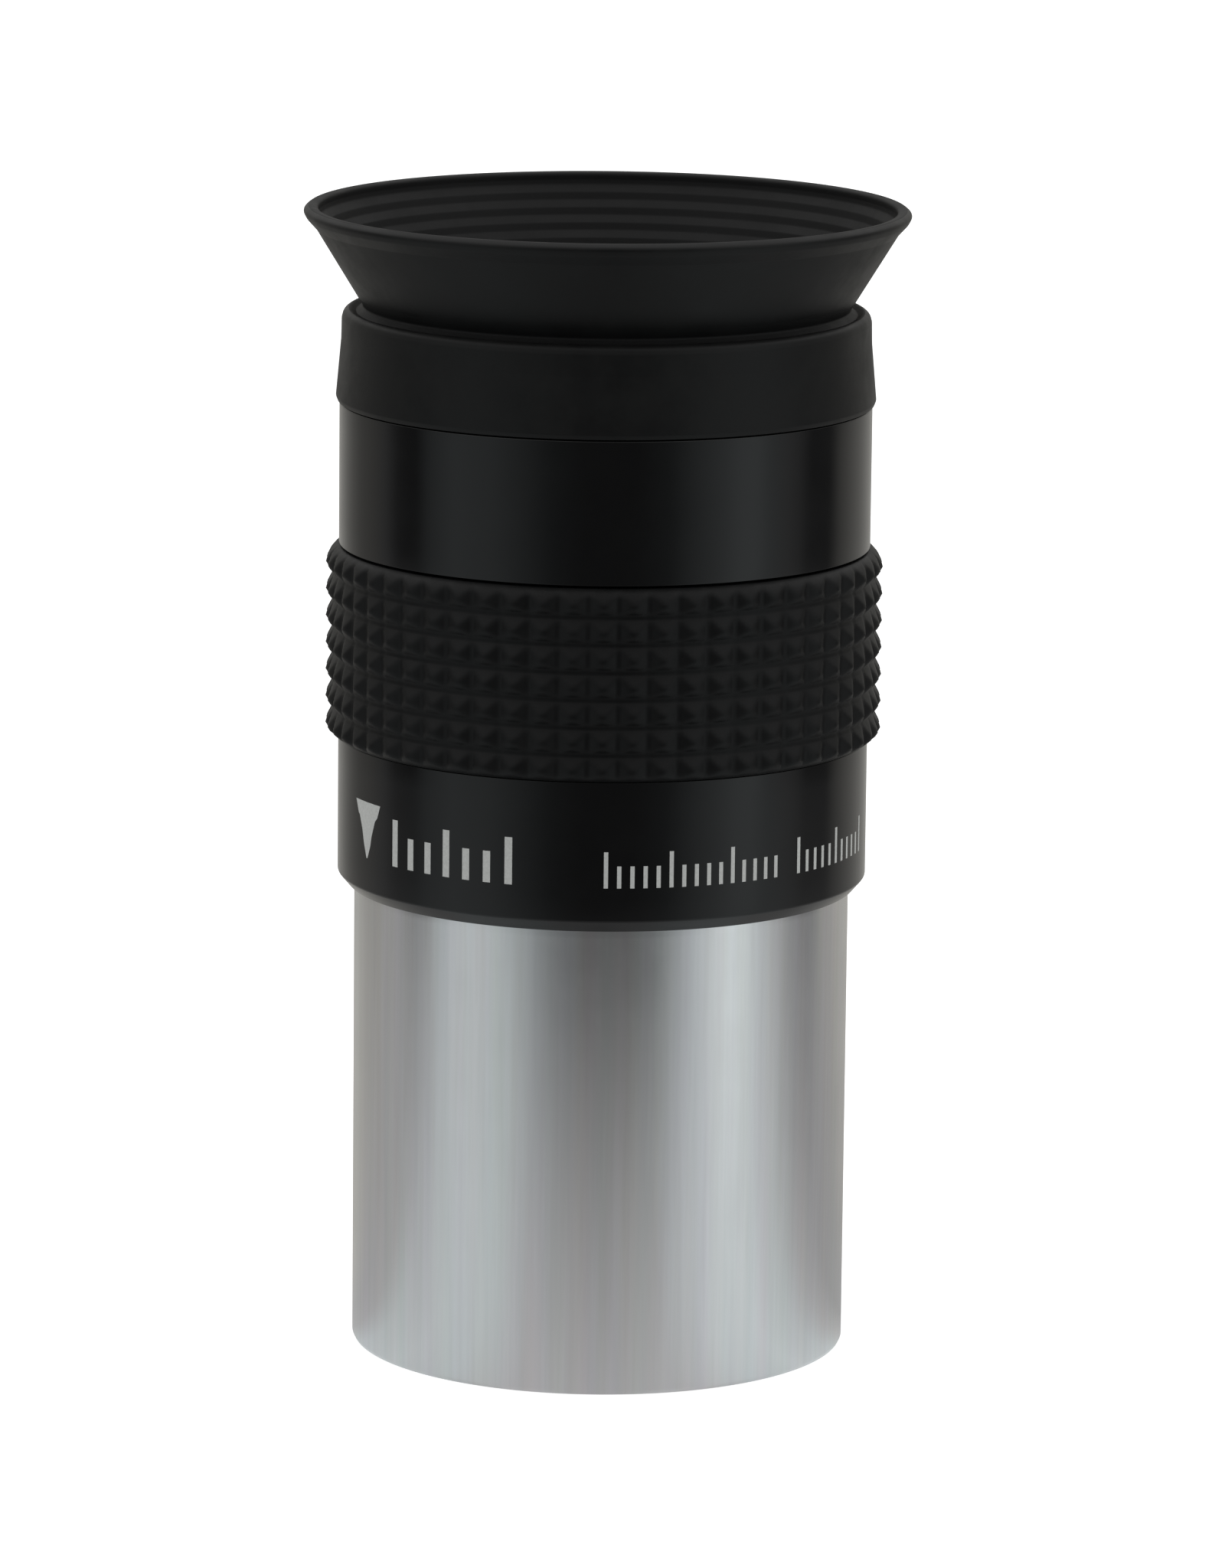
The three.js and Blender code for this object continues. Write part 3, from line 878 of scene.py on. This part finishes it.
# The paper near the object: degrees to the right from the front, brightness, and warmth
GLOW_BANDS = [
    (-180, 0.5, 1), (-140, 0.5, 1), (-108, 0.48, 0), (-94, 0.52, 0), (-80, 0.7, -1), (-60, 0.76, -1),
    (-42, 0.72, -1), (-22, 0.6, 0), (0, 0.56, 0), (22, 0.6, 0), (42, 0.76, -1), (60, 0.84, -1),
    (78, 0.74, -1), (92, 0.56, 0), (108, 0.42, 0), (126, 0.4, 0), (150, 0.42, 1), (180, 0.5, 1),
]


def floor_glow():
    """The light that the paper sends up near the object. Its texture coordinates are in metres."""
    material = bpy.data.materials.new("floor_glow")
    material.use_nodes = True
    tree = material.node_tree
    tree.nodes.clear()
    place = tree.nodes.new("ShaderNodeTexCoord").outputs["Object"]
    narrowed = tree.nodes.new("ShaderNodeVectorMath")
    narrowed.operation = "MULTIPLY"
    narrowed.inputs[1].default_value = (1 / GLOW_STRETCH, 1, 1)
    tree.links.new(place, narrowed.inputs[0])
    length = tree.nodes.new("ShaderNodeVectorMath")
    length.operation = "LENGTH"
    tree.links.new(narrowed.outputs[0], length.inputs[0])
    share = ranged(tree, length.outputs["Value"], (0, GLOW_REACH * MM), (1, 0))
    glow = tree.nodes.new("ShaderNodeEmission")
    tree.links.new(azimuth_ramp(tree, place, GLOW_BANDS)[0], glow.inputs["Color"])
    mix = tree.nodes.new("ShaderNodeMixShader")
    tree.links.new(share, mix.inputs[0])
    tree.links.new(tree.nodes.new("ShaderNodeBsdfTransparent").outputs[0], mix.inputs[1])
    tree.links.new(glow.outputs[0], mix.inputs[2])
    end = tree.nodes.new("ShaderNodeOutputMaterial")
    tree.links.new(mix.outputs[0], end.inputs[0])
    return material


def backdrop_paper():
    material = bpy.data.materials.new("backdrop_paper")
    material.use_nodes = True
    shader = material.node_tree.nodes["Principled BSDF"]
    shader.inputs["Base Color"].default_value = (0, 0, 0, 1)
    shader.inputs["Emission Color"].default_value = (1, 1, 1, 1)
    shader.inputs["Emission Strength"].default_value = 1
    return material


def flat_disc(name, radius, height, material, steps=96):
    """A flat disc, in millimetres, that belongs to the studio."""
    angles = np.arange(steps) * 2 * math.pi / steps
    level = np.full(steps, height)
    circle = np.stack([radius * np.cos(angles), radius * np.sin(angles), level], 1)
    made = mesh_object(name, circle, [tuple(range(steps))], [material])
    return made


def show(thing, in_picture, in_reflections, in_shadows):
    """Which rays meet the thing."""
    thing.visible_camera = in_picture
    thing.visible_glossy = in_reflections
    thing.visible_diffuse = in_reflections
    thing.visible_transmission = in_reflections
    thing.visible_shadow = in_shadows


def backdrop():
    """A dome of paper over the floor, seen from its inside."""
    around = DOME_AROUND
    vertices = [(0, 0, DOME_RADIUS)]
    faces = []
    for i in range(1, DOME_RINGS + 1):
        tilt = math.pi / 2 * i / DOME_RINGS
        flat, height = DOME_RADIUS * math.sin(tilt), DOME_RADIUS * math.cos(tilt)
        for k in range(around):
            turn = 2 * math.pi * k / around
            vertices.append((flat * math.cos(turn), flat * math.sin(turn), height))
    for k in range(around):
        m = (k + 1) % around
        faces.append((0, 1 + m, 1 + k))
        for i in range(DOME_RINGS - 1):
            a, b = 1 + i * around, 1 + (i + 1) * around
            faces.append((a + k, a + m, b + m, b + k))
    dome = mesh_object("backdrop", vertices, faces, [backdrop_paper()])
    return dome


def studio_paper():
    """The floor and the backdrop as the camera sees them, and the glow that the object sees instead."""
    floor = flat_disc("floor", FLOOR_RADIUS, 0, floor_paper())
    show(floor, in_picture=True, in_reflections=False, in_shadows=False)
    glow = flat_disc("floor_glow", GLOW_RADIUS, -GLOW_DROP, floor_glow())
    show(glow, in_picture=False, in_reflections=True, in_shadows=True)
    show(backdrop(), in_picture=True, in_reflections=False, in_shadows=False)


# The surroundings near the horizon, in the same terms
BANDS = [
    (-180, 0.45, 1), (-155, 0.45, 1), (-143, 0.37, 1), (-132, 0.32, 1), (-118, 0.36, 1), (-109, 0.34, 0),
    (-101, 0.14, 0), (-89, 0.1, 0), (-81, 0.42, -1), (-68, 0.68, -1), (-50, 0.62, -1), (-36, 0.42, -1),
    (-22, 0.2, -1), (-9, 0.13, 0), (14, 0.13, 0), (28, 0.22, -1), (40, 0.5, -1), (52, 0.74, -1),
    (60, 0.95, -1), (68, 0.98, -1), (76, 0.68, -1), (86, 0.5, 0), (93, 0.34, 0), (99, 0.14, 0),
    (114, 0.11, 0), (122, 0.34, 1), (132, 0.42, 1), (150, 0.46, 1), (180, 0.45, 1),
]

# The light from above
TOP_BANDS = [
    (-180, 1, 0), (-100, 1.3, 0), (-60, 1.25, 0), (-30, 0.95, 0), (0, 0.65, 0), (30, 0.95, 0),
    (60, 1.25, 0), (100, 1.3, 0), (180, 1, 0),
]


def surroundings():
    """The light that comes from all round: dark behind the camera, a soft band on each side, a dark gap
    beyond each band, and a bright top."""
    world = bpy.data.worlds.new("surroundings")
    bpy.context.scene.world = world
    world.use_nodes = True
    tree = world.node_tree
    back = tree.nodes["Background"]
    place = tree.nodes.new("ShaderNodeTexCoord").outputs["Generated"]
    bands, split = azimuth_ramp(tree, place, BANDS)
    top, _ = azimuth_ramp(tree, place, TOP_BANDS)
    lift = ranged(tree, split.outputs["Z"], (0.2, 0.7), (0, 1), "SMOOTHSTEP")
    tree.links.new(mixed(tree, lift, bands, top), back.inputs["Color"])
    back.inputs["Strength"].default_value = 1


def softbox(name, place, aim, size, power):
    """A rectangular lamp in metres and watts that points at aim and isn't seen by the camera."""
    data = bpy.data.lights.new(name, "AREA")
    data.shape = "RECTANGLE"
    data.size, data.size_y = size
    data.energy = power
    thing = bpy.data.objects.new(name, data)
    bpy.context.scene.collection.objects.link(thing)
    thing.location = place
    thing.rotation_euler = (Vector(aim) - Vector(place)).to_track_quat("-Z", "Y").to_euler()
    thing.visible_camera = False


studio_paper()
surroundings()
softbox("overhead", place=(0, 0.05, 0.9), aim=(0, 0, 0), size=(0.5, 0.5), power=0.4)
bpy.context.scene.view_settings.view_transform = "Standard"
